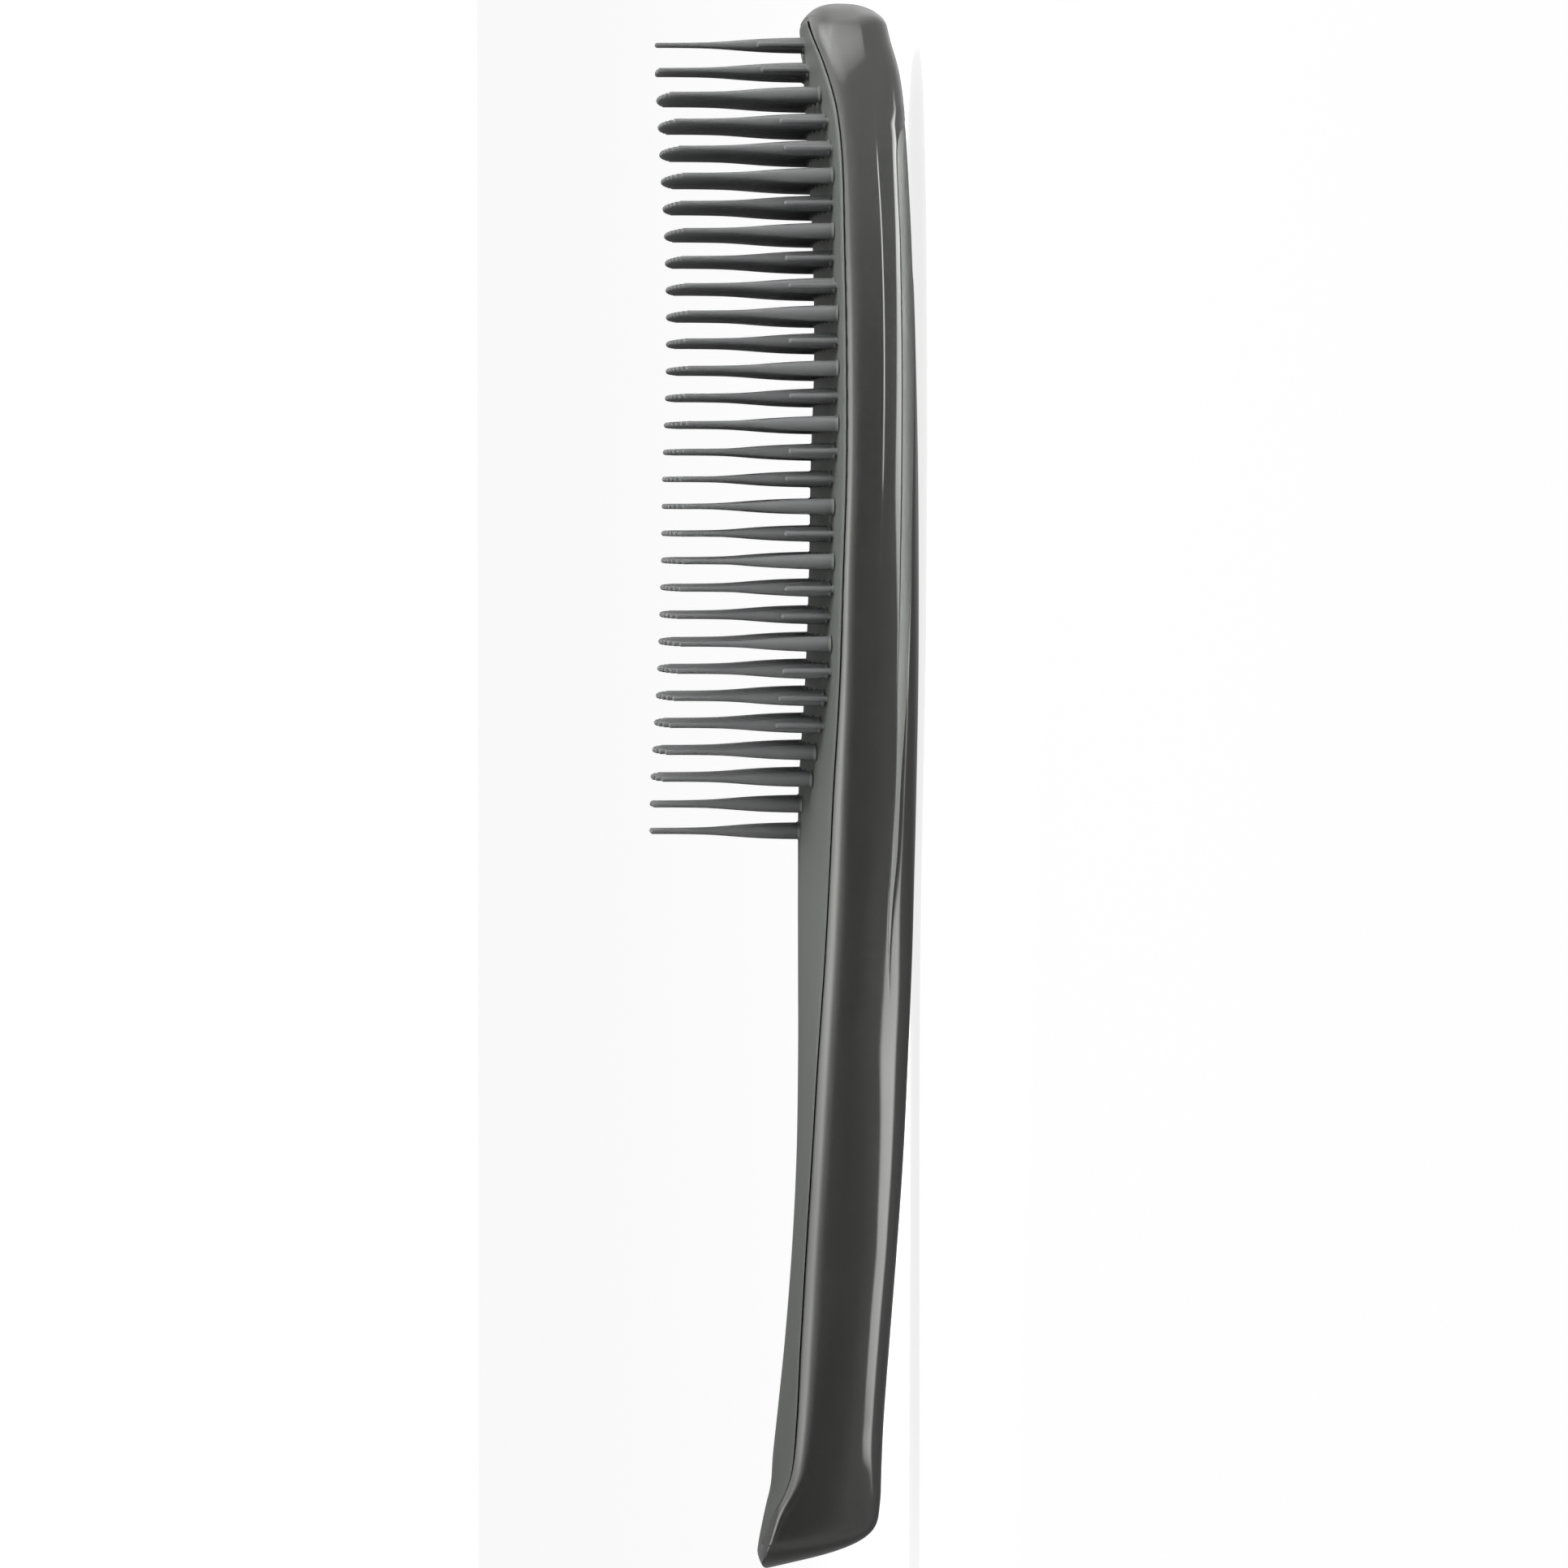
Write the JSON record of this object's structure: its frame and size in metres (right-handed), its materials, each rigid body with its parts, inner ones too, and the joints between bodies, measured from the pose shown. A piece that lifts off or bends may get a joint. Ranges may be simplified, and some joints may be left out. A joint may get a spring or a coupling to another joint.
{
  "type": "detangling brush",
  "caption": "Long-handled detangling brush: oval domed head with rows of long and short tapered teeth, satin front, glossy hollow back.",
  "frame": {"origin": "under the centre of the brush's bounding box, on the surface it lies on with its back down", "axes": "+X across the brush, +Y from the handle's end to the head's tip, +Z from the back to the teeth"},
  "size_m": [0.061, 0.2242, 0.0384],
  "materials": {
    "back_gloss": "glossy gunmetal with a faint pearl",
    "front_satin": "satin grey-green with a fine pearl grain",
    "tooth_plastic": "dark grey semi-gloss, slightly soft plastic"
  },
  "bodies": {
    "root": {"back_shell": "back_gloss", "front_cover": "front_satin", "tooth_row_01": "tooth_plastic", "tooth_row_02": "tooth_plastic", "tooth_row_03": "tooth_plastic", "tooth_row_04": "tooth_plastic", "tooth_row_05": "tooth_plastic", "tooth_row_06": "tooth_plastic", "tooth_row_07": "tooth_plastic", "tooth_row_08": "tooth_plastic", "tooth_row_09": "tooth_plastic", "tooth_row_10": "tooth_plastic", "tooth_row_11": "tooth_plastic", "tooth_row_12": "tooth_plastic", "tooth_row_13": "tooth_plastic", "tooth_row_14": "tooth_plastic", "tooth_row_15": "tooth_plastic", "tooth_row_16": "tooth_plastic", "tooth_row_17": "tooth_plastic", "tooth_row_18": "tooth_plastic", "tooth_row_19": "tooth_plastic", "tooth_row_20": "tooth_plastic", "tooth_row_21": "tooth_plastic", "tooth_row_22": "tooth_plastic", "tooth_row_23": "tooth_plastic", "tooth_row_24": "tooth_plastic", "tooth_row_25": "tooth_plastic", "tooth_row_26": "tooth_plastic", "tooth_row_27": "tooth_plastic", "tooth_row_28": "tooth_plastic", "tooth_row_29": "tooth_plastic", "tooth_row_30": "tooth_plastic"}
  },
  "joints": []
}
